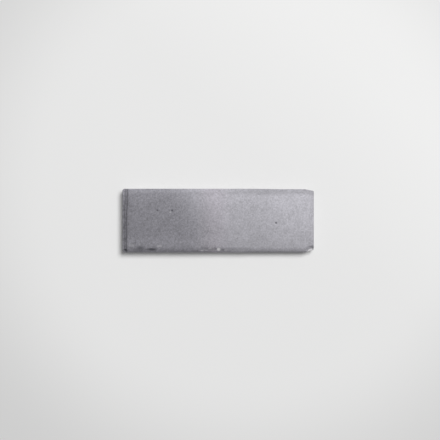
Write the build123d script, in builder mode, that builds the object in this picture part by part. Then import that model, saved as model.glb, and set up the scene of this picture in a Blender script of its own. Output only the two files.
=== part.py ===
from build123d import *
import os

# Porcelain tile in a small brick format, pressed and fired in one piece.
# It lies face up on its keyed back. +X runs along its length, +Y across its width and +Z out of the
# glazed face. The origin is the middle of the back, on the plane that the back's ribs rest on.
# Front is -Y, left is -X.

# Overall size, in millimetres
length = 150.0
width = 50.0
thickness = 10.0

# Pressed body: upright sides under the face, then a lean inwards down to the back
left_corner_radius = 1.9
right_corner_radius = 0.9
seam_height = 5.5
side_draft_angle = 3.0
back_chamfer = 0.5

# The back right corner of the face is drawn in by firing
skew_length = 7.0
skew_depth = 1.6

# Soft edges of the face: how far each runs in over the face, and how far it drops down the side.
# Each round leaves the face smoothly and meets the side at a soft arris.
left_bevel_run = 3.8
left_bevel_drop = 1.2
left_lip_run = 1.4
left_lip_drop = 0.7
right_round_run = 1.4
right_round_drop = 0.9
front_round_run = 4.8
front_round_drop = 2.4
back_round_run = 2.6
back_round_drop = 1.2

# Keyed back: a grid of shallow pockets that leaves a border and ribs for the mortar to grip
key_columns = 10
key_rows = 3
key_depth = 0.8
key_taper_angle = 30.0
key_corner = 1.5
rib_width = 2.0
back_border = 3.5

# The front right corner is knocked back through the whole thickness
corner_break_length = 7.5
corner_break_depth = 1.7

# Shell-shaped chip over that corner: how far it reaches over the face from its middle, how deep it
# goes, and where its middle lies, in from the right end and out in front of the side
corner_chip_reach = 6.0
corner_chip_depth = 3.2
corner_chip_inset = 1.0
corner_chip_stand_out = 1.0

# Marks broken into the front edge, each left by a ball: distance from the left end, distance in from
# the front, depth of the lowest point under the face, and radius of the ball. The first is a small
# deep pit beside the front left corner.
front_marks = [
    (2.2, 1.8, 1.6, 1.5),
    (12.9, 2.6, 0.72, 4.5),
    (23.1, 2.0, 0.95, 5.0),
    (64.4, 1.7, 0.92, 3.4),
    (74.9, 2.4, 0.82, 3.5),
]

# The two open pinholes in the face: distance from the left end and distance in from the front
pinhole_radius = 1.0
pinhole_depth = 0.6
pinholes = [
    (38.6, 32.6),
    (120.4, 23.2),
]

left_end, right_end = -length / 2, length / 2
front_side, back_side = -width / 2, width / 2
reach = thickness / 2  # how far the section profiles run past the body
round_sweep = 80  # degrees that an edge's round turns through, enough to carry it out past the side


def ball_radius(run, depth):
    """Radius of the ball or round that is level at one point and this deep at this distance from it."""
    return (run**2 + depth**2) / (2 * depth)


def edge_round(shoulder, run, drop, sweep):
    """Arc that leaves the shoulder level and has fallen by the drop after the run."""
    radius = ball_radius(run, drop)
    return CenterArc((shoulder[0], shoulder[1] - radius), radius, start_angle=90, arc_size=sweep)


with BuildPart() as tile:
    # Body: the face's outline, upright down to the seam and leaning in below it
    with BuildSketch(Plane.XY.offset(seam_height)) as outline:
        with BuildLine():
            Polyline(
                (left_end, front_side),
                (right_end - corner_break_length, front_side),
                (right_end, front_side + corner_break_depth),
                (right_end, back_side - skew_depth),
                (right_end - skew_length, back_side),
                (left_end, back_side),
                close=True,
            )
        make_face()
        fillet(outline.vertices().filter_by_position(Axis.X, left_end, 0), left_corner_radius)
        fillet(outline.vertices().filter_by_position(Axis.X, 0, right_end), right_corner_radius)
    extrude(amount=thickness - seam_height)
    extrude(outline.sketch, amount=seam_height - back_chamfer, dir=(0, 0, -1), taper=side_draft_angle)
    extrude(tile.faces().sort_by(Axis.Z)[0], amount=back_chamfer, taper=45)

    # Seen from the front: a worn bevel with a rounded lip on the left, a small round on the right
    with BuildSketch(Plane.XZ.offset(-front_side + reach)) as long_section:
        with BuildLine():
            bevel_foot = (left_end + left_lip_run, thickness - left_bevel_drop)
            bevel_head = (left_end + left_bevel_run, thickness)
            right_shoulder = (right_end - right_round_run, thickness)
            lip = edge_round(bevel_foot, left_lip_run, left_lip_drop, round_sweep)
            right_round = edge_round(right_shoulder, right_round_run, right_round_drop, -round_sweep)
            Polyline(bevel_foot, bevel_head, right_shoulder)
            Polyline(
                right_round @ 1,
                (right_end + reach, (right_round @ 1).Y),
                (right_end + reach, -reach),
                (left_end - reach, -reach),
                (left_end - reach, (lip @ 1).Y),
                lip @ 1,
            )
        make_face()
    extrude(amount=-(width + 2 * reach), mode=Mode.INTERSECT)

    # Seen from the end: a broad round along the front and a tighter one along the back
    with BuildSketch(Plane.YZ.offset(left_end - reach)) as cross_section:
        with BuildLine():
            front_shoulder = (front_side + front_round_run, thickness)
            back_shoulder = (back_side - back_round_run, thickness)
            front_round = edge_round(front_shoulder, front_round_run, front_round_drop, round_sweep)
            back_round = edge_round(back_shoulder, back_round_run, back_round_drop, -round_sweep)
            Line(front_shoulder, back_shoulder)
            Polyline(
                back_round @ 1,
                (back_side + reach, (back_round @ 1).Y),
                (back_side + reach, -reach),
                (front_side - reach, -reach),
                (front_side - reach, (front_round @ 1).Y),
                front_round @ 1,
            )
        make_face()
    extrude(amount=length + 2 * reach, mode=Mode.INTERSECT)

    # Keyed back: pockets pressed into the back, each narrowing as it goes in
    key_length = (length - 2 * back_border - (key_columns - 1) * rib_width) / key_columns
    key_width = (width - 2 * back_border - (key_rows - 1) * rib_width) / key_rows
    with BuildSketch(Plane.XY) as pockets:
        with GridLocations(key_length + rib_width, key_width + rib_width, key_columns, key_rows):
            RectangleRounded(key_length, key_width, key_corner)
    extrude(amount=key_depth, taper=key_taper_angle, mode=Mode.SUBTRACT)

    # Chip over the front right corner, a shell-shaped break that is deepest in front of the side
    chip_ball = ball_radius(corner_chip_reach, corner_chip_depth)
    chip_middle = (
        right_end - corner_chip_inset,
        front_side - corner_chip_stand_out,
        thickness - corner_chip_depth + chip_ball,
    )
    with Locations(chip_middle):
        Sphere(chip_ball, mode=Mode.SUBTRACT)

    # Pit, dents and flakes along the front edge
    for from_left, from_front, depth, ball in front_marks:
        with Locations((left_end + from_left, front_side + from_front, thickness - depth + ball)):
            Sphere(ball, mode=Mode.SUBTRACT)

    # Pinholes: small round dishes in the face
    pinhole_ball = ball_radius(pinhole_radius, pinhole_depth)
    pinhole_rise = pinhole_ball - pinhole_depth
    for from_left, from_front in pinholes:
        with Locations((left_end + from_left, front_side + from_front, thickness + pinhole_rise)):
            Sphere(pinhole_ball, mode=Mode.SUBTRACT)

tile.part.label = "tile"

os.makedirs("parts", exist_ok=True)
export_step(tile.part, "parts/tile.step")
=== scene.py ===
# A small oblong porcelain tile lying face up on a pale floor, seen from straight above
import math

import bpy
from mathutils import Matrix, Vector


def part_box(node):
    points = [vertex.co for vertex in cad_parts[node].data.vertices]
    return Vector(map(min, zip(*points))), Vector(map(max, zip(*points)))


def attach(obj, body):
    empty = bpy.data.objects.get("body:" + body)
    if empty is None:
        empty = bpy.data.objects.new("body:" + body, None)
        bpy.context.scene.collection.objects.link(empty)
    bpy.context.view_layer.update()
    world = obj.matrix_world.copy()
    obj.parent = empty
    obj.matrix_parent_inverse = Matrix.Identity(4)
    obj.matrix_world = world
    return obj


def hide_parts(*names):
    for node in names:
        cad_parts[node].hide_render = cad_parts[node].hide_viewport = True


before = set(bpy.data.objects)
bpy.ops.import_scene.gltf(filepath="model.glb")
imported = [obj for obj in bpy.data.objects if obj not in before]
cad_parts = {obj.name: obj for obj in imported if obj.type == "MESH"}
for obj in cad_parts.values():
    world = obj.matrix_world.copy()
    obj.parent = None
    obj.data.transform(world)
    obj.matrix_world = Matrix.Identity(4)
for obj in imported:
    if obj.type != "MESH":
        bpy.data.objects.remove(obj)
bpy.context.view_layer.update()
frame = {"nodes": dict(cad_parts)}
print("frame loaded:", ", ".join(frame["nodes"]))

millimetre = 0.001
quarterTurn = math.pi / 2


class Wire:
    # An output socket of a node tree. Maths on it adds Math nodes to that tree.
    def __init__(self, graph, socket):
        self.graph = graph
        self.socket = socket

    def other(self, name):
        return Wire(self.graph, self.socket.node.outputs[name])

    def __add__(self, value):
        return self.graph.maths("ADD", self, value)

    def __sub__(self, value):
        return self.graph.maths("SUBTRACT", self, value)

    def __rsub__(self, value):
        return self.graph.maths("SUBTRACT", value, self)

    def __mul__(self, value):
        return self.graph.maths("MULTIPLY", self, value)

    def __truediv__(self, value):
        return self.graph.maths("DIVIDE", self, value)

    def __pow__(self, value):
        return self.graph.maths("POWER", self, value)

    def __abs__(self):
        return self.graph.maths("ABSOLUTE", self)

    __radd__ = __add__
    __rmul__ = __mul__


class Graph:
    # A node tree, and the few ways in which this script adds nodes to it
    nodesInRow, columnWidth, rowHeight = 24, 200, 260

    def __init__(self, tree):
        self.tree = tree
        tree.nodes.clear()

    def add(self, kind, settings=None, values=None, output=0):
        node = self.tree.nodes.new(kind)
        row, column = divmod(len(self.tree.nodes), self.nodesInRow)
        node.location = (column * self.columnWidth, -row * self.rowHeight)
        for name, setting in (settings or {}).items():
            setattr(node, name, setting)
        for name, value in (values or {}).items():
            if isinstance(value, Wire):
                self.tree.links.new(value.socket, node.inputs[name])
            else:
                node.inputs[name].default_value = value
        return Wire(self, node.outputs[output]) if node.outputs else None

    def maths(self, operation, *operands):
        return self.add("ShaderNodeMath", {"operation": operation}, dict(enumerate(operands)))

    def least(self, first, second):
        return self.maths("MINIMUM", first, second)

    def most(self, first, second):
        return self.maths("MAXIMUM", first, second)

    def distance(self, x, y):
        return self.maths("SQRT", x * x + y * y)

    def ramp(self, value, start, end, low=0.0, high=1.0, shape="LINEAR"):
        # low before start, high after end, and clamped outside them
        ends = {"Value": value, "From Min": start, "From Max": end, "To Min": low, "To Max": high}
        return self.add("ShaderNodeMapRange", {"interpolation_type": shape}, ends)

    def ease(self, value, start, end, low=0.0, high=1.0):
        # a ramp with soft ends
        return self.ramp(value, start, end, low, high, "SMOOTHSTEP")

    def hump(self, value, start, end):
        # 1 in the middle of this stretch, fading to nothing at both its ends
        middle = (start + end) / 2
        return self.ease(abs(value - middle), 0.0, end - middle, 1.0, 0.0)

    def noise(self, place, size, detail, roughness, seed):
        # even noise about zero, with lumps of about this size in the units of place
        settings = {"noise_dimensions": "4D"}
        values = {"Vector": place, "W": seed, "Scale": 1 / size, "Detail": detail, "Roughness": roughness}
        return self.add("ShaderNodeTexNoise", settings, values) * 2.0 - 1.0

    def vector(self, x, y, z):
        return self.add("ShaderNodeCombineXYZ", None, {"X": x, "Y": y, "Z": z})

    def parts(self, vector):
        split = self.add("ShaderNodeSeparateXYZ", None, {"Vector": vector})
        return split.other("X"), split.other("Y"), split.other("Z")

    def scaled(self, vector, factor):
        values = {"Vector": vector, "Scale": factor}
        return self.add("ShaderNodeVectorMath", {"operation": "SCALE"}, values)

    def mixColours(self, factor, first, second):
        # a Mix node's colour sockets share their names with its others, so they go by number
        return self.add("ShaderNodeMix", {"data_type": "RGBA"}, {0: factor, 6: first, 7: second}, 2)


# What the tile's sizes come from: the CAD box, and the shapes of its edges, all in millimetres
cadLow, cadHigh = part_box("tile")
tileSizes = {
    "Length": (cadHigh.x - cadLow.x) / millimetre,
    "Width": (cadHigh.y - cadLow.y) / millimetre,
    "Thickness": (cadHigh.z - cadLow.z) / millimetre,
    "Grid Step": 0.5,
    "Left Corner": 1.9,
    "Right Corner": 0.9,
    "Seam Height": 5.5,
    "Side Lean": math.tan(math.radians(3.0)),
    "Foot Chamfer": 0.5,
    "Lip Run": 1.4,
    "Lip Drop": 0.7,
    "Bevel Run": 3.8,
    "Bevel Drop": 1.2,
    "Right Run": 1.4,
    "Right Drop": 0.9,
    "Front Run": 4.1,
    "Front Drop": 2.2,
    "Worn Run": 4.6,
    "Worn Slope": 0.53,
    "Back Run": 2.6,
    "Back Drop": 1.2,
    "Skew Length": 7.0,
    "Skew Depth": 1.4,
    "Back Bow": 0.3,
    "Break Length": 7.5,
    "Break Depth": 1.65,
    "Key Border": 3.5,
    "Key Rib": 2.0,
    "Key Columns": 10.0,
    "Key Rows": 3.0,
    "Key Depth": 0.8,
    "Key Slope": math.tan(math.radians(30.0)),
    "Key Corner": 1.5,
    "Face Swell": 0.08,
    "Face Ripple": 0.03,
    "Edge Waver": 0.06,
    "Seed": 3.0,
}

# How the grid's lines crowd together towards each edge of the face. The first rows follow the round,
# and each knot pairs a distance on the grid with the real distance from the side.
gridRows = {
    "left": {"roundRows": 2.0, "run": 1.0, "knots": [(6.0, 3.9), (9.0, 9.0)]},
    "right": {"roundRows": 2.5, "run": 1.4, "knots": [(6.0, 6.0)]},
    "front": {"roundRows": 2.0, "run": 1.0, "knots": [(7.5, 5.4), (10.0, 10.0)]},
    "back": {"roundRows": 3.0, "run": 2.6, "knots": [(7.0, 7.0)]},
}

# How the tile strays from its plain sizes, in millimetres, with X and Y from its middle.
# In this script a noise is the size of its lumps, detail, roughness and seed. A change is the
# stretch that it takes and, where they are given, the values before and after it.
relief = {
    "cornersChange": (-1.0, 1.0),  # along X, from the left corners' radius to the right ones'
    "edgeNoise": (22.0, 2.0, 0.5, 0.0),
    "edgeUneven": 0.12,
    "rightUneven": 0.22,
    "bevelWidens": (4.0, 14.0, 1.0, 1.2),  # along Y, as a share of the bevel's run
    "bevelEnds": (3.2, 4.0),  # from the left end
    "bevelNoise": (1.6, 2.0, 0.6, 9.0),
    "bevelLumps": 0.22,
    "frontDeepens": (-20.0, 30.0, 0.72, 1.1),  # along X, as a share of the front's drop
    "wornFrom": (-15.0, -9.0),  # the front edge is worn to a slope in the middle
    "wornTo": (20.0, 29.0),
    "wornCurve": 0.35,  # share of the slope's run that curves up to the face
    "blendPower": 6.0,  # the higher, the tighter the arrises where two edges meet
    "swellNoise": (38.0, 1.0, 0.4, 5.0),
    "rippleNoise": (9.0, 1.0, 0.4, 7.0),
    "backBows": (22.0, 55.0),  # along X
    "waverNoise": (26.0, 2.0, 0.45, 21.0),
    "sidesApart": 30.0,  # keeps the waver of the front apart from that of the back
    "breakStraight": 1.0,  # the broken corner ends straight over this last stretch
    "sideReach": 3.4,  # how far in the outline's shift reaches at the foot
    "faceReach": 8.0,  # and how much further on the face, at the back side
    "creaseAngle": 40.0,
}

# Wear, placed by distance from the left end and in from the front, in millimetres
wear = {
    # the ball that broke the front right corner
    "chip": {
        "place": (149.0, -0.1),
        "rise": 2.4,  # height of the ball's middle over the face
        "radius": 6.2,
        "stretch": 1.1,  # along the edge
        "deepest": 3.1,
        "paleFades": (3.2, 3.7),  # where the pale body fades out, from the ball's middle
    },
    "raggedNoise": (1.1, 2.0, 0.6, 13.0),  # ragged rims of the chip and the marks
    "ragged": 0.3,
    # a pit, dents, flakes and smudges, most of them along the front edge: place, half length, half width,
    # depth, and how much bare body and how much darkening shows in them; that darkening is partly dirt and
    # partly painted shade in the hollows
    "marks": [
        (2.3, 1.8, 1.7, 1.5, 1.1, 0.0, 0.85),
        (1.6, 4.4, 0.6, 2.2, 0.0, 0.0, 0.35),
        (13.7, 2.9, 4.4, 2.8, 0.4, 0.0, 0.56),
        (22.9, 2.3, 4.7, 1.7, 0.5, 0.0, 0.88),
        (21.8, 3.3, 1.6, 0.9, 0.0, 0.0, 0.3),
        (7.2, 5.6, 3.0, 1.3, 0.0, 0.2, 0.0),
        (13.3, 6.2, 1.0, 0.8, 0.0, 0.2, 0.0),
        (29.0, 5.2, 2.6, 1.0, 0.0, 0.28, 0.0),
        (37.6, 31.5, 0.9, 0.8, 0.0, 0.4, 0.0),  # glaze pulled away beside a pinhole
        (75.5, 2.6, 1.7, 1.6, 0.3, 0.95, 0.0),
        (62.4, 1.64, 1.4, 0.5, 0.2, 0.6, 0.0),
        (65.8, 1.64, 1.2, 0.5, 0.0, 0.4, 0.0),
        (68.7, 3.2, 1.8, 0.7, 0.0, 0.4, 0.0),
        (80.8, 2.0, 1.5, 0.7, 0.0, 0.35, 0.0),
        (78.6, 2.0, 2.2, 1.4, 0.2, 0.0, 0.5),
        (67.5, 1.6, 0.5, 0.4, 0.0, 0.0, 0.4),
        (73.2, 2.8, 0.6, 1.1, 0.0, 0.0, 0.35),
        (149.7, 2.9, 1.3, 2.0, 0.0, 0.0, 0.6),  # darker on the right end beside the chip: painted shade of the chip's wall
    ],
    "markFloor": 0.1,  # share of a mark's reach that is its flat bottom
    "bareFades": (0.6, 1.0),  # where its bare body and its darkening of dirt and painted shade fade out, as shares of its reach
    "dirtAndShadeFades": (0.25, 1.1),
    "markHeights": (6.2, 7.4),  # the colours of the marks come in between these heights
    "shadeNoise": (1.1, 2.0, 0.6, 20.0),  # ragged rims of those colours
    "shadeRagged": 0.35,
    # pinholes: place, radius, depth
    "pinholes": [
        (38.9, 32.9, 1.15, 0.6),
        (120.3, 23.2, 1.15, 0.55),
        (27.3, 32.9, 1.3, 0.4),
        (106.6, 45.5, 0.8, 0.25),
        (80.1, 8.9, 0.7, 0.3),
    ],
    "deepPinhole": 0.6,  # the depth at which a pinhole has its full rim and its full dark fill of dirt and painted shade
    "pinholeRim": (1.25, 0.4, 0.1),  # place and half width as shares of the radius, and height
    "pinholeDirtAndShade": (0.15, 0.6, 0.0, 0.75),
    "pullReach": 3.0,
    "pullStrength": 0.6,
}


def edgeSpacing(graph, onGrid, rows):
    # real distance from the side for a distance on the even grid
    turn = graph.least(onGrid / rows["roundRows"], 1.0) * quarterTurn
    real = (1 - graph.maths("COSINE", turn)) * rows["run"]
    start, reached = rows["roundRows"], rows["run"]
    for stop, distance in rows["knots"]:
        real = real + graph.ramp(onGrid, start, stop, 0.0, distance - reached)
        start, reached = stop, distance
    return real + graph.most(onGrid - start, 0.0)


def crowdLines(graph, along, half, level, lowRows, highRows):
    # crowd the grid's lines towards both edges of the face, and leave the back's lines even
    fromLow, fromHigh = along + half, half - along
    lowShift = edgeSpacing(graph, fromLow, lowRows) - fromLow
    highShift = edgeSpacing(graph, fromHigh, highRows) - fromHigh
    return along + level * (lowShift - highShift)


def roundCorners(graph, size, x, y):
    # round the four upright corners
    radius = graph.ramp(x, *relief["cornersChange"], size["Left Corner"], size["Right Corner"])
    cornerX = graph.ramp(size["Half Length"] - abs(x), 0.0, radius, 1.0, 0.0)
    cornerY = graph.ramp(size["Half Width"] - abs(y), 0.0, radius, 1.0, 0.0)
    pullX = radius * cornerX * (1 - graph.maths("SQRT", 1 - cornerY * cornerY / 2))
    pullY = radius * cornerY * (1 - graph.maths("SQRT", 1 - cornerX * cornerX / 2))
    return x - graph.maths("SIGN", x) * pullX, y - graph.maths("SIGN", y) * pullY


def gatherLines(graph, size, x, y, level):
    # draw the face's lines towards each pinhole, so that it is round
    for placeX, placeY, radius, depth in wear["pinholes"]:
        awayX, awayY = x + size["Half Length"] - placeX, y + size["Half Width"] - placeY
        away = graph.distance(awayX, awayY)
        pull = graph.ease(away, 0.0, wear["pullReach"], wear["pullStrength"], 0.0) * level
        x, y = x - awayX * pull, y - awayY * pull
    return x, y


def shapeNoise(graph, size, place, layer):
    lumpSize, detail, roughness, seed = layer
    return graph.noise(place, lumpSize, detail, roughness, size["Seed"] + seed)


def roundDrop(graph, distance, run, drop):
    # how far a round that leaves the face level has fallen at this distance from the side
    radius = (run * run + drop * drop) / (drop * 2)
    over = graph.most(run - graph.most(distance, 0.0), 0.0)
    return radius - graph.maths("SQRT", graph.most(radius * radius - over * over, 0.0))


def wornDrop(graph, distance, run, slope):
    # a worn edge: a slope that leaves the face through a short curve
    curve = relief["wornCurve"]
    along = graph.ramp(distance / run, 0.0, 1.0, 1.0, 0.0)
    curved = graph.least(along, curve)
    return (along - curved + curved * curved / (2 * curve)) * run * slope


def faceFall(graph, size, x, y, flat):
    # fall of the face towards its four edges, each a little uneven along its length
    fromLeft, fromRight = x + size["Half Length"], size["Half Length"] - x
    fromFront, fromBack = y + size["Half Width"], size["Half Width"] - y
    edgeNoise = shapeNoise(graph, size, flat, relief["edgeNoise"])
    uneven = 1 + edgeNoise * relief["edgeUneven"]
    rightUneven = 1 + edgeNoise * relief["rightUneven"]

    bevelRun = size["Bevel Run"] * graph.ramp(y, *relief["bevelWidens"])
    leftFall = roundDrop(graph, fromLeft, size["Lip Run"], size["Lip Drop"])
    leftFall = leftFall + graph.ramp(fromLeft, size["Lip Run"], bevelRun, 1.0, 0.0) * size["Bevel Drop"]
    rightFall = roundDrop(graph, fromRight, size["Right Run"] * rightUneven, size["Right Drop"])

    frontDrop = size["Front Drop"] * graph.ramp(x, *relief["frontDeepens"])
    frontFall = roundDrop(graph, fromFront, size["Front Run"] * uneven, frontDrop)
    wornFall = wornDrop(graph, fromFront, size["Worn Run"] * uneven, size["Worn Slope"])
    worn = graph.ramp(x, *relief["wornFrom"]) * graph.ramp(x, *relief["wornTo"], 1.0, 0.0)
    frontFall = frontFall + worn * (wornFall - frontFall)
    backFall = roundDrop(graph, fromBack, size["Back Run"] * uneven, size["Back Drop"])

    power = relief["blendPower"]
    return ((leftFall + rightFall) ** power + (frontFall + backFall) ** power) ** (1 / power)


def markAway(graph, fromLeft, fromFront, where, ragged):
    # distance from the middle of a mark, as a share of its reach
    placeX, placeY, halfLength, halfWidth = where
    awayX = (fromLeft - placeX + ragged) / halfLength
    awayY = (fromFront - placeY - ragged) / halfWidth
    return graph.distance(awayX, awayY)


def faceHeight(graph, size, x, y):
    # height of the glazed face, and where the chip and the pinholes show on it
    thickness = size["Thickness"]
    fromLeft, fromFront = x + size["Half Length"], y + size["Half Width"]
    flat = graph.vector(x, y, 0.0)

    # slow swell of the fired face, and small lumps on the bevel, all kept under the CAD's face
    swell = shapeNoise(graph, size, flat, relief["swellNoise"]) * size["Face Swell"]
    swell = swell + shapeNoise(graph, size, flat, relief["rippleNoise"]) * size["Face Ripple"]
    bevel = graph.ramp(fromLeft, *relief["bevelEnds"], 1.0, 0.0)
    lumps = shapeNoise(graph, size, flat, relief["bevelNoise"]) * bevel * relief["bevelLumps"]
    margin = size["Face Swell"] + size["Face Ripple"]
    fall = faceFall(graph, size, x, y, flat)
    height = thickness - graph.most(fall + margin + swell + lumps, 0.0)

    # marks sunk into the front edge, with ragged rims
    ragged = shapeNoise(graph, size, flat, wear["raggedNoise"]) * wear["ragged"]
    sunk = 0.0
    for *where, depth, bareShare, dirtAndShadeShare in wear["marks"]:
        if depth > 0.0:
            away = markAway(graph, fromLeft, fromFront, where, ragged)
            sunk = graph.most(graph.ease(away, wear["markFloor"], 1.0, depth, 0.0), sunk)
    height = height - sunk

    # the ball that broke the corner, and the flat floor of its chip
    chip = wear["chip"]
    placeX, placeY = chip["place"]
    awayX = (fromLeft - placeX + ragged) / chip["stretch"]
    awayY = fromFront - placeY - ragged
    awaySquared = awayX * awayX + awayY * awayY
    ballDepth = graph.maths("SQRT", graph.most(chip["radius"] ** 2 - awaySquared, 0.0))
    chipFloor = graph.most(thickness + chip["rise"] - ballDepth, thickness - chip["deepest"])
    height = graph.least(height, chipFloor)
    chipMask = graph.ramp(graph.maths("SQRT", awaySquared), *chip["paleFades"], 1.0, 0.0)

    # pinholes, each with a low rim
    rimPlace, rimHalf, rimHeight = wear["pinholeRim"]
    holeMask = 0.0
    for placeX, placeY, radius, depth in wear["pinholes"]:
        away = graph.distance(fromLeft - placeX, fromFront - placeY) / radius
        dish = graph.ease(away, 0.0, 1.0, 1.0, 0.0)
        rim = graph.ease(abs(away - rimPlace), 0.0, rimHalf, 1.0, 0.0)
        fullness = depth / wear["deepPinhole"]
        height = height - dish * depth + rim * (rimHeight * fullness)
        holeMask = dish * min(fullness, 1.0) + holeMask
    return height, chipMask, holeMask


def pocketSide(graph, size, fromLow, whole, count):
    # distance from the middle of the nearest pocket, and half its size
    pocket = (whole - size["Key Border"] * 2 - (count - 1) * size["Key Rib"]) / count
    onPitch = graph.maths("FLOORED_MODULO", fromLow - size["Key Border"], pocket + size["Key Rib"])
    return abs(onPitch - pocket / 2), pocket / 2


def pocketDepth(graph, size, x, y):
    # the back: a grid of pockets with rounded corners and sloping walls, inside a border
    halfLength, halfWidth, corner = size["Half Length"], size["Half Width"], size["Key Corner"]
    awayX, halfX = pocketSide(graph, size, x + halfLength, size["Length"], size["Key Columns"])
    awayY, halfY = pocketSide(graph, size, y + halfWidth, size["Width"], size["Key Rows"])
    overX, overY = awayX - halfX + corner, awayY - halfY + corner
    beyond = graph.distance(graph.most(overX, 0.0), graph.most(overY, 0.0))
    insidePocket = corner - beyond - graph.least(graph.most(overX, overY), 0.0)
    insideBorder = graph.least(halfLength - abs(x), halfWidth - abs(y)) - size["Key Border"]
    depth = graph.least(insidePocket, insideBorder) / size["Key Slope"]
    return graph.least(graph.most(depth, 0.0), size["Key Depth"])


def shapeOutline(graph, size, x, y, wall, level):
    # walls: lean in below the seam, and chamfered at the foot
    endX, chamfer = size["Half Length"], size["Foot Chamfer"]
    inset = (size["Seam Height"] - graph.most(wall, chamfer)) * size["Side Lean"]
    inset = graph.most(inset, 0.0) + graph.most(chamfer - wall, 0.0)
    nearEnd = graph.ramp(endX - abs(x), 0.0, size["Key Border"], 1.0, 0.0)
    nearSide = graph.ramp(size["Half Width"] - abs(y), 0.0, size["Key Border"], 1.0, 0.0)

    # back side: the drawn-in corner, and a slow bow
    drawnIn = graph.ramp(x, endX - size["Skew Length"], endX) * size["Skew Depth"]
    drawnIn = drawnIn + graph.ease(x, *relief["backBows"]) * size["Back Bow"]
    backReach = relief["sideReach"] + level * relief["faceReach"]
    drawnIn = drawnIn * graph.ramp(size["Half Width"] - y, 0.0, backReach, 1.0, 0.0)

    # front side: the broken corner
    brokenOff = graph.ease(x, endX - size["Break Length"], endX - relief["breakStraight"])
    brokenOff = brokenOff * size["Break Depth"]
    brokenOff = brokenOff * graph.ramp(y + size["Half Width"], 0.0, relief["sideReach"], 1.0, 0.0)

    # a slow waver of both long sides
    alongSide = graph.vector(x, graph.maths("SIGN", y) * relief["sidesApart"], 0.0)
    waver = (1 + shapeNoise(graph, size, alongSide, relief["waverNoise"])) * size["Edge Waver"] / 2
    outX = x - graph.maths("SIGN", x) * inset * nearEnd
    outY = y - graph.maths("SIGN", y) * (inset + waver) * nearSide - drawnIn + brokenOff
    return outX, outY


def evenBox(graph, size):
    # a closed box of even squares, with one line more than squares. The half is for rounding down.
    step = size["Grid Step"]
    values = {"Size": graph.vector(size["Length"], size["Width"], size["Thickness"])}
    for axis, name in (("X", "Length"), ("Y", "Width"), ("Z", "Thickness")):
        values[f"Vertices {axis}"] = size[name] / step + 1.5
    return graph.add("GeometryNodeMeshCube", None, values)


def buildTileTree(material):
    tree = bpy.data.node_groups.new("tileShape", "GeometryNodeTree")
    tree.interface.new_socket(name="Geometry", in_out="OUTPUT", socket_type="NodeSocketGeometry")
    for name, value in tileSizes.items():
        socket = tree.interface.new_socket(name=name, in_out="INPUT", socket_type="NodeSocketFloat")
        socket.default_value = value
    graph = Graph(tree)
    inputs = graph.add("NodeGroupInput")
    size = {name: inputs.other(name) for name in tileSizes}
    size["Half Length"], size["Half Width"] = size["Length"] / 2, size["Width"] / 2

    gridX, gridY, gridZ = graph.parts(graph.add("GeometryNodeInputPosition"))
    level = gridZ / size["Thickness"] + 0.5  # 0 on the back, 1 on the face
    x = crowdLines(graph, gridX, size["Half Length"], level, gridRows["left"], gridRows["right"])
    y = crowdLines(graph, gridY, size["Half Width"], level, gridRows["front"], gridRows["back"])
    x, y = roundCorners(graph, size, x, y)
    x, y = gatherLines(graph, size, x, y, level)
    height, chipMask, holeMask = faceHeight(graph, size, x, y)
    wall = level * height
    outX, outY = shapeOutline(graph, size, x, y, wall, level)
    outZ = wall + (1 - level) * pocketDepth(graph, size, gridX, gridY)

    # the masks fade out towards the back, and are stored while the box still has its even grid
    masks = {"chipMask": chipMask * graph.least(level * 2.0, 1.0), "holeMask": holeMask * level}
    stored = evenBox(graph, size)
    for name, mask in masks.items():
        values = {"Geometry": stored, "Name": name, "Value": mask}
        stored = graph.add("GeometryNodeStoreNamedAttribute", None, values)
    moved = {"Geometry": stored, "Position": graph.vector(outX, outY, outZ)}
    shaped = graph.add("GeometryNodeSetPosition", None, moved)

    smooth = graph.add("GeometryNodeSetShadeSmooth", None, {"Geometry": shaped, "Shade Smooth": True})
    bend = graph.add("GeometryNodeInputMeshEdgeAngle", output="Unsigned Angle")
    sharp = graph.maths("GREATER_THAN", bend, math.radians(relief["creaseAngle"]))
    edges = {"Geometry": smooth, "Selection": sharp, "Shade Smooth": False}
    creased = graph.add("GeometryNodeSetShadeSmooth", {"domain": "EDGE"}, edges)
    toMetres = {"Geometry": creased, "Scale": (millimetre,) * 3}
    scaled = graph.add("GeometryNodeTransform", None, toMetres)
    finished = graph.add("GeometryNodeSetMaterial", None, {"Geometry": scaled, "Material": material})
    realized = graph.add("GeometryNodeRealizeInstances", None, {"Geometry": finished})
    graph.add("NodeGroupOutput", None, {"Geometry": realized})
    return tree
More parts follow.
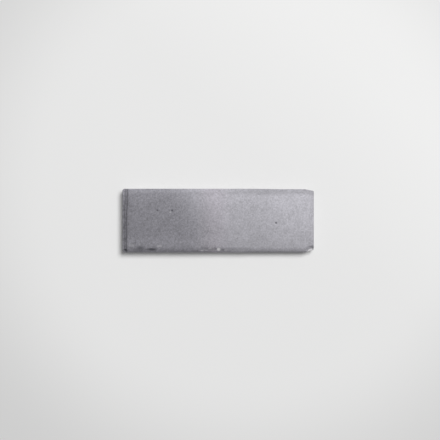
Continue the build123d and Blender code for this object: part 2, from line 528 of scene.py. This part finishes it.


# The glaze: tones are linear, from the dark left of the face to the light right of it. This step is partly
# the glaze's own tone and partly a painted sheen of the lamp at the back right.
glaze = {
    "darkTint": (1.0, 0.98, 1.1, 1.0),
    "lightTint": (1.0, 0.982, 1.074, 1.0),
    "mauve": (1.01, 0.963, 1.07, 1.0),
    "mauveStretch": (-21.0, 14.0),  # a faint mauve cast along this stretch of X
    "darkTone": 0.206,
    "lightTone": 0.378,
    "toneStep": (-36.0, 13.0),
    "toneSlant": 0.38,
    "rightLift": (30.0, 68.0, 1.0, 1.12),  # still lighter towards the right end, partly painted sheen
    "upperLift": 0.0025,  # lighter for each millimetre towards the back, partly painted sheen
    "lightLift": 0.006,  # more of that lift on the light part
    # each layer of mottling: share of the tone, and its noise
    "mottling": [
        (0.1, 17.0, 2.0, 0.55, 2.0),
        (0.12, 5.5, 2.0, 0.55, 4.0),
        (0.1, 2.4, 2.0, 0.55, 6.0),
    ],
    # slow swells of the tone: place from the tile's middle, half length, half width, share
    "swells": [
        (52.0, 11.5, 17.0, 8.0, 0.08),
        (-37.6, 7.5, 8.0, 9.0, 0.1),
        (16.0, 10.0, 13.0, 10.0, -0.06),
        (-7.0, 19.0, 11.0, 7.0, -0.07),
        (9.5, -7.0, 9.0, 6.0, -0.06),
        (66.0, -12.0, 8.0, 5.0, -0.06),
    ],
    "speckNoise": (0.95, 1.0, 0.5, 8.0),
    "speckShare": 0.46,
    "darkSpecks": 1.3,  # specks are this much stronger on the dark part
    "patchNoise": (3.0, 3.0, 0.6, 10.0),  # breaks up the bands and lines along the edges
    # Along the back edge the face is painted paler on the left and darker on the right: a painted highlight
    # and a painted loss of sheen where the rounded edge tilts. Each band: how far it is full and where it
    # ends, and its shares on the left and on the right
    "backBands": [(1.8, 6.4, 0.22, -0.3), (5.0, 17.0, 0.12, 0.0)],
    "backTurns": (-58.0, 36.0),  # stretch of X over which the left share gives way to the right one
    "backRim": (0.6, 2.4, 0.12, 0.0),  # paler at the very edge, painted light on the rounded back edge
    "rightBand": (1.5, 4.2, -0.14, 0.0),  # darker down the right end, on its back half: painted shade, a loss of sheen on the rounded end
    "rightStarts": (0.0, 14.0),
    "rightEases": (0.0, 6.0, 0.5, 1.0),  # weaker again close to the back edge
    "frontBand": (2.6, 15.0),  # paler glaze in from the front edge of the dark part
    "frontBandShare": 0.14,
    "frontBreaks": (-0.4, 0.2, 0.5, 1.0),
    "leftBand": (7.0, 17.0, -0.06, 0.0),  # darker beside the bevel
    # lines along the worn bevel, painted shade in its creases and, with a strength below nought, a painted
    # highlight on the lip: place from the left end, half width, strength
    "bevelLines": [(0.8, 0.6, -0.3), (1.8, 0.6, 0.36), (3.4, 0.8, 0.52), (4.6, 0.9, 0.08)],
    "bevelBreaks": (-0.5, 0.2, 0.3, 1.0),
    "swayNoise": (11.0, 1.0, 0.5, 22.0),
    "bevelSway": 0.7,
    "bevelFray": 0.3,
    "bevelNoise": (2.0, 1.0, 0.5, 18.0),
    "bevelGrain": 0.75,
    "bevelEnds": (3.0, 4.0),
    "frontRim": (0.6, 1.5),  # darker at the very edge, from the worn slope to the right end: painted shade of the steep lip
    "rimStarts": (-24.0, -8.0, 0.0, -0.18),
    "roughness": 0.55,
    "roughClouds": 0.6,
    "specular": 0.5,
    "bumpHeight": 0.04,
    # dark colour of the dents and pinholes: partly dirt, partly painted shade in the hollows
    "dirtAndShadeColour": (0.05, 0.05, 0.06, 1.0),
    "foot": 6.5,  # height at which the glaze ends on the sides
    "footNoise": (7.0, 4.0, 0.6, 12.0),
    "footWaver": 0.9,
    "footEdge": 0.12,  # half the width over which it thins out there
}

# The bare body, seen in the chips, on the lower sides and on the back
body = {
    "tint": (1.0, 0.988, 1.02),
    "tone": 0.46,
    "cloudNoise": (9.0, 3.0, 0.6, 14.0),
    "cloudShare": 0.16,
    "grainNoise": (0.7, 2.0, 0.6, 16.0),
    "grainShare": 0.22,
    "freshLift": 0.25,  # a fresh break is paler than the fired side
    "poreSpacing": 2.6,
    "poreSize": 0.3,
    "poreFray": 0.25,
    "poreShare": 0.4,
    # the body is darker towards the foot of the sides
    "footDarkHeights": (0.2, 2.2),
    "footDarkFray": 0.6,
    "footDarkShare": 0.25,
    "roughness": 0.82,
}


def faceTone(graph, place, x, y):
    # a soft slanting step from dark to light, partly the glaze's tone and partly painted sheen, with swells,
    # mottling and specks
    step = graph.ease(x + y * glaze["toneSlant"], *glaze["toneStep"])
    tone = glaze["darkTone"] + step * (glaze["lightTone"] - glaze["darkTone"])
    tone = tone * (1 + y * (step * glaze["lightLift"] + glaze["upperLift"]))
    tone = tone * graph.ramp(x, *glaze["rightLift"])
    clouds = 0.0
    for share, *layer in glaze["mottling"]:
        clouds = graph.noise(place, *layer) * share + clouds
    for middleX, middleY, halfLength, halfWidth, share in glaze["swells"]:
        away = graph.distance((x - middleX) / halfLength, (y - middleY) / halfWidth)
        clouds = graph.ease(away, 0.0, 1.0, share, 0.0) + clouds
    specks = graph.noise(place, *glaze["speckNoise"]) * glaze["speckShare"]
    specks = specks * (glaze["darkSpecks"] - step * (glaze["darkSpecks"] - 1))
    return tone * (1 + clouds + specks), step, clouds, specks


def shadeEdges(graph, place, x, y, tone, step, patches):
    halfLength, halfWidth = tileSizes["Length"] / 2, tileSizes["Width"] / 2
    fromLeft, fromRight, fromFront = x + halfLength, halfLength - x, y + halfWidth

    # back edge, which follows the drawn-in corner: painted highlight and painted loss of sheen
    drawnIn = graph.ramp(x, halfLength - tileSizes["Skew Length"], halfLength)
    fromBack = halfWidth - y - drawnIn * tileSizes["Skew Depth"]
    for full, ends, leftShare, rightShare in glaze["backBands"]:
        band = graph.ease(fromBack + patches, full, ends, 1.0, 0.0)
        tone = tone * (1 + band * graph.ramp(x, *glaze["backTurns"], leftShare, rightShare))
    tone = tone * (1 + graph.ramp(fromBack, *glaze["backRim"]))

    # right end: painted shade
    band = graph.ease(fromRight + patches, *glaze["rightBand"])
    band = band * graph.ramp(y, *glaze["rightStarts"]) * graph.ramp(fromBack, *glaze["rightEases"])
    tone = tone * (1 + band)

    # in from the front edge of the dark part
    pale = graph.hump(fromFront, *glaze["frontBand"]) * graph.ramp(patches, *glaze["frontBreaks"])
    tone = tone * (1 + pale * (1 - step * step) * glaze["frontBandShare"])

    # left end: the face beside the bevel, the painted shade lines and painted highlight on the bevel, and
    # its grain
    tone = tone * (1 + graph.ramp(fromLeft, *glaze["leftBand"]))
    sway = graph.noise(place, *glaze["swayNoise"]) * glaze["bevelSway"] + patches * glaze["bevelFray"]
    onBevel = fromLeft / graph.ramp(y, *relief["bevelWidens"])
    for middle, halfLine, strength in glaze["bevelLines"]:
        dark = graph.ease(abs(onBevel - middle + sway), 0.0, halfLine, 1.0, 0.0)
        tone = tone * (1 - dark * graph.ramp(patches, *glaze["bevelBreaks"]) * strength)
    grain = graph.noise(place, *glaze["bevelNoise"]) * glaze["bevelGrain"]
    tone = tone * (1 + grain * graph.ramp(fromLeft, *glaze["bevelEnds"], 1.0, 0.0))

    # painted shade at the very front edge
    rim = graph.ramp(fromFront, *glaze["frontRim"], 1.0, 0.0) * graph.ramp(x, *glaze["rimStarts"])
    return tone * (1 + rim)


def placeWear(graph, place, x, y, z):
    # where flakes lay the body bare, and where dents and pits are darkened by dirt and painted shade
    onFace = graph.ramp(z, *wear["markHeights"])
    fromLeft, fromFront = x + tileSizes["Length"] / 2, y + tileSizes["Width"] / 2
    ragged = graph.noise(place, *wear["shadeNoise"]) * wear["shadeRagged"]
    flaked, stainAndShade = 0.0, 0.0
    for *where, depth, bareShare, dirtAndShadeShare in wear["marks"]:
        away = markAway(graph, fromLeft, fromFront, where, ragged)
        if bareShare > 0.0:
            flake = graph.ease(away, *wear["bareFades"], bareShare, 0.0)
            flaked = graph.most(flake * onFace, flaked)
        if dirtAndShadeShare > 0.0:
            smudgeAndShade = graph.ease(away, *wear["dirtAndShadeFades"], dirtAndShadeShare, 0.0)
            stainAndShade = graph.most(smudgeAndShade * onFace, stainAndShade)
    return flaked, stainAndShade


def bodyLook(graph, place, z, patches, broken):
    # colour of the bare body, and the height of its grain and pores
    cells = {"Vector": place, "Scale": 1 / body["poreSpacing"]}
    fromPore = graph.add("ShaderNodeTexVoronoi", {"feature": "F1"}, cells, "Distance")
    fromPore = fromPore * body["poreSpacing"] + patches * body["poreFray"]
    pore = graph.ease(fromPore, 0.0, body["poreSize"], 1.0, 0.0)
    clouds = graph.noise(place, *body["cloudNoise"]) * body["cloudShare"]
    grain = graph.noise(place, *body["grainNoise"]) * body["grainShare"]
    # darker towards the foot of the sides
    footDark = graph.ease(z + patches * body["footDarkFray"], *body["footDarkHeights"], body["footDarkShare"], 0.0)
    tone = (1 + broken * body["freshLift"]) * body["tone"] * (1 + clouds + grain)
    tone = tone * (1 - pore * body["poreShare"]) * (1 - footDark)
    return graph.scaled(body["tint"], tone), grain - pore


def makeGlaze():
    material = bpy.data.materials.new("satinGlaze")
    material.use_nodes = True
    graph = Graph(material.node_tree)
    onTile = graph.add("ShaderNodeTexCoord", output="Object")
    place = graph.scaled(onTile, 1 / millimetre)
    x, y, z = graph.parts(place)

    def mask(name):
        return graph.add("ShaderNodeAttribute", {"attribute_name": name}, output="Fac")

    tone, step, clouds, specks = faceTone(graph, place, x, y)
    patches = graph.noise(place, *glaze["patchNoise"])
    tone = shadeEdges(graph, place, x, y, tone, step, patches)
    tint = graph.mixColours(step, glaze["darkTint"], glaze["lightTint"])
    tint = graph.mixColours(graph.hump(x, *glaze["mauveStretch"]), tint, glaze["mauve"])
    glazeColour = graph.scaled(tint, tone)

    # bare body in the chips and below the foot of the glaze; darker colour in the dents and pinholes, partly
    # dirt and partly painted shade
    flaked, stainAndShade = placeWear(graph, place, x, y, z)
    broken = graph.most(mask("chipMask"), flaked)
    footLine = graph.noise(graph.vector(x, y, 0.0), *glaze["footNoise"]) * glaze["footWaver"] + glaze["foot"]
    bareSide = graph.ramp(z - footLine, -glaze["footEdge"], glaze["footEdge"], 1.0, 0.0)
    bare = graph.most(bareSide, broken)
    dirtAndShade = graph.most(stainAndShade, graph.ramp(mask("holeMask"), *wear["pinholeDirtAndShade"]))
    bodyColour, bodyHeight = bodyLook(graph, place, z, patches, broken)
    colour = graph.mixColours(bare, glazeColour, bodyColour)
    colour = graph.mixColours(dirtAndShade, colour, glaze["dirtAndShadeColour"])

    rough = glaze["roughness"] + clouds * glaze["roughClouds"]
    rough = rough + bare * (body["roughness"] - rough)
    height = (specks + clouds) * (1 - bare) + bodyHeight * bare
    relieved = {"Height": height, "Distance": glaze["bumpHeight"] * millimetre, "Strength": 1.0}
    bump = graph.add("ShaderNodeBump", None, relieved, "Normal")
    surface = {
        "Base Color": colour,
        "Roughness": rough,
        "Specular IOR Level": glaze["specular"],
        "Normal": bump,
    }
    shader = graph.add("ShaderNodeBsdfPrincipled", None, surface)
    graph.add("ShaderNodeOutputMaterial", None, {"Surface": shader})
    return material


def makeTile():
    material = makeGlaze()
    tree = buildTileTree(material)
    tile = bpy.data.objects.new("porcelainTile", bpy.data.meshes.new("porcelainTile"))
    bpy.context.scene.collection.objects.link(tile)
    shape = tile.modifiers.new("tileShape", "NODES")
    shape.node_group = tree
    for item in tree.interface.items_tree:
        if item.in_out == "INPUT":
            shape[item.identifier] = tileSizes[item.name]
    evaluated = tile.evaluated_get(bpy.context.evaluated_depsgraph_get())
    shaped = bpy.data.meshes.new_from_object(evaluated)
    tile.modifiers.remove(shape)
    tile.data = shaped
    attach(tile, "root")
    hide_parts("tile")
    print("tile shaped:", len(shaped.vertices), "points,", len(shaped.polygons), "faces")


# Where the tile lies and how it is seen. The camera looks straight down from above the tile.
shot = {
    "frameWidth": 344.2,  # width of the picture at the face, in millimetres
    "middle": (1.5, 0.49),
    "lens": 85.0,
    "sensor": 36.0,
}
light = {
    "keyShare": 0.74,  # of the light that falls on the floor under the lamp
    "worldShare": 0.26,
    "skyColour": (1.0, 1.0, 1.0, 1.0),
    "lean": (0.35, 0.35),  # sideways reach of the key for each unit of height
    "distance": 3.0,  # metres
    "spread": 30.0,  # degrees across, seen from the tile
}
ground = {
    "size": 6.0,  # metres
    "tint": (1.0, 1.0, 0.997),
    "tone": 0.836,
    "edgeTone": 0.695,  # the light falls off towards the corners of the picture
    "brightMiddle": (22.0, 29.0),
    "falls": (155.0, 274.0),
    "rightDims": (-110.0, 70.0, 1.01, 0.986),  # a little darker to the right
    "cornerLifts": (30.0, 180.0, 1.0, 1.05),  # and lighter again at the upper right
    "roughness": 0.9,
    "specular": 0.1,
}


def makeCamera():
    view = bpy.data.cameras.new("overhead")
    view.lens, view.sensor_width = shot["lens"], shot["sensor"]
    camera = bpy.data.objects.new("overhead", view)
    bpy.context.scene.collection.objects.link(camera)
    above = shot["frameWidth"] * shot["lens"] / shot["sensor"]
    middleX, middleY = shot["middle"]
    camera.location = Vector((middleX, middleY, tileSizes["Thickness"] + above)) * millimetre
    bpy.context.scene.camera = camera
    print("camera", round(above), "mm above the face")


def makeLights():
    lean = Vector((*light["lean"], 1.0)).normalized()
    lamp = bpy.data.lights.new("keySoftbox", "AREA")
    lamp.shape = "DISK"
    lamp.size = 2 * light["distance"] * math.tan(math.radians(light["spread"] / 2))
    # power that gives the floor this share of pi watts on each square metre
    lamp.energy = light["keyShare"] * (math.pi * light["distance"]) ** 2 / lean.z
    key = bpy.data.objects.new("keySoftbox", lamp)
    key.location = lean * light["distance"]
    key.rotation_euler = lean.to_track_quat("Z", "Y").to_euler()
    bpy.context.scene.collection.objects.link(key)

    # beyond the floor the camera sees the floor's own edge tone
    world = bpy.data.worlds.new("paleRoom")
    bpy.context.scene.world = world
    world.use_nodes = True
    graph = Graph(world.node_tree)
    seen = graph.add("ShaderNodeLightPath", output="Is Camera Ray")
    level = light["worldShare"] + seen * (ground["edgeTone"] - light["worldShare"])
    sky = graph.add("ShaderNodeBackground", None, {"Color": light["skyColour"], "Strength": level})
    graph.add("ShaderNodeOutputWorld", None, {"Surface": sky})
    print("lights set")


def makeFloor():
    half = ground["size"] / 2
    corners = [(-half, -half, 0), (half, -half, 0), (half, half, 0), (-half, half, 0)]
    mesh = bpy.data.meshes.new("paleFloor")
    mesh.from_pydata(corners, [], [(0, 1, 2, 3)])
    floor = bpy.data.objects.new("paleFloor", mesh)
    bpy.context.scene.collection.objects.link(floor)
    material = bpy.data.materials.new("paleFloor")
    material.use_nodes = True
    graph = Graph(material.node_tree)
    x, y = graph.parts(graph.add("ShaderNodeTexCoord", output="Object"))[:2]
    middleX, middleY = ground["brightMiddle"]
    awayX, awayY = x / millimetre - middleX, y / millimetre - middleY
    # the floor's tone is painted light: brightest about a middle point, falling off towards the corners, a
    # little darker to the right and lighter again at the upper right
    tone = graph.ease(graph.distance(awayX, awayY), *ground["falls"], ground["tone"], ground["edgeTone"])
    tone = tone * graph.ramp(awayX, *ground["rightDims"])
    tone = tone * graph.ramp(awayX + awayY, *ground["cornerLifts"])
    surface = {
        "Base Color": graph.scaled(ground["tint"], tone),
        "Roughness": ground["roughness"],
        "Specular IOR Level": ground["specular"],
    }
    shader = graph.add("ShaderNodeBsdfPrincipled", None, surface)
    graph.add("ShaderNodeOutputMaterial", None, {"Surface": shader})
    mesh.materials.append(material)
    print("floor laid")


makeCamera()
makeLights()
makeFloor()
makeTile()
bpy.context.scene.view_settings.view_transform = "Standard"
